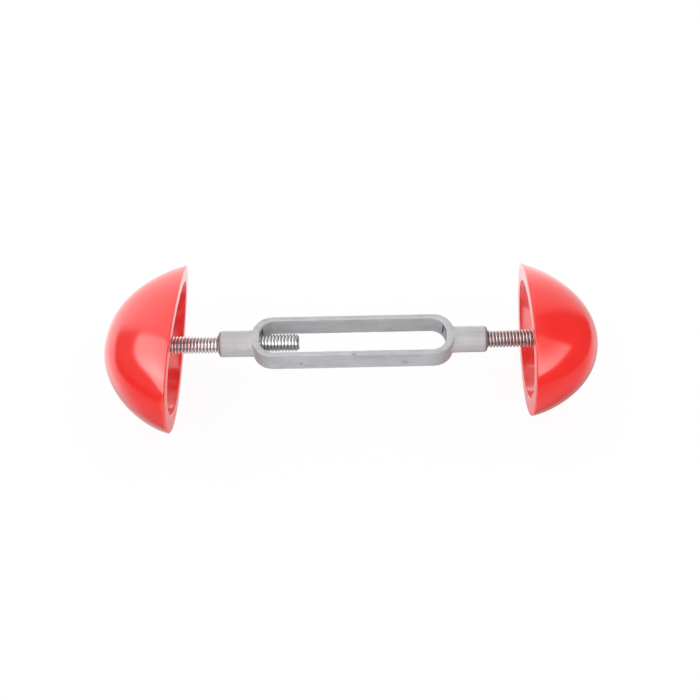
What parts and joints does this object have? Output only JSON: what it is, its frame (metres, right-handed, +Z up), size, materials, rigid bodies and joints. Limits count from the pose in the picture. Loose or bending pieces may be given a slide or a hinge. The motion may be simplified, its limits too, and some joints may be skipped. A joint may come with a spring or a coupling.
{
  "type": "shoe stretcher",
  "caption": "Shoe stretcher: hollow egg-shaped end caps on threaded studs that screw in and out of an open turnbuckle frame.",
  "frame": {"origin": "middle of the turnbuckle frame, on the studs' common axis", "axes": "+X along the studs towards the small cap, +Z up through the frame's window, +Y towards the caps' narrow ends"},
  "size_m": [0.1475, 0.0506, 0.0446],
  "materials": {
    "frame_casting": "dull as-cast grey with faint marks",
    "stud_steel": "bright zinc-plated rolled thread",
    "cap_plastic": "glossy moulded red plastic",
    "nut_steel": "zinc-plated hexagon nut"
  },
  "bodies": {
    "frame": {"turnbuckle_frame": "frame_casting"},
    "left_screw": {"left_stud": "stud_steel"},
    "right_screw": {"right_stud": "stud_steel"},
    "left_end": {"left_cap": "cap_plastic", "left_cap_nut": "nut_steel"},
    "right_end": {"right_cap": "cap_plastic", "right_cap_nut": "nut_steel"}
  },
  "joints": [
    {"name": "left_turn", "type": "hinge", "parent": "left_screw", "child": "left_end", "pos_m": [-0.0604, 0, 0], "axis": [1, 0, 0], "range_deg": [-6120, 2880]},
    {"name": "left_travel", "type": "slide", "parent": "frame", "child": "left_screw", "axis": [-1, 0, 0], "range_m": [-0.01701, 0.00801]},
    {"name": "right_turn", "type": "hinge", "parent": "right_screw", "child": "right_end", "pos_m": [0.0598, 0, 0], "axis": [1, 0, 0], "range_deg": [-6120, 0]},
    {"name": "right_travel", "type": "slide", "parent": "frame", "child": "right_screw", "axis": [1, 0, 0], "range_m": [-0.01701, 0.00001]}
  ],
  "couplings": [
    {"joint": "left_travel", "follows": "left_turn", "m_per_rad": 0.00015915},
    {"joint": "right_travel", "follows": "right_turn", "m_per_rad": 0.00015915}
  ]
}
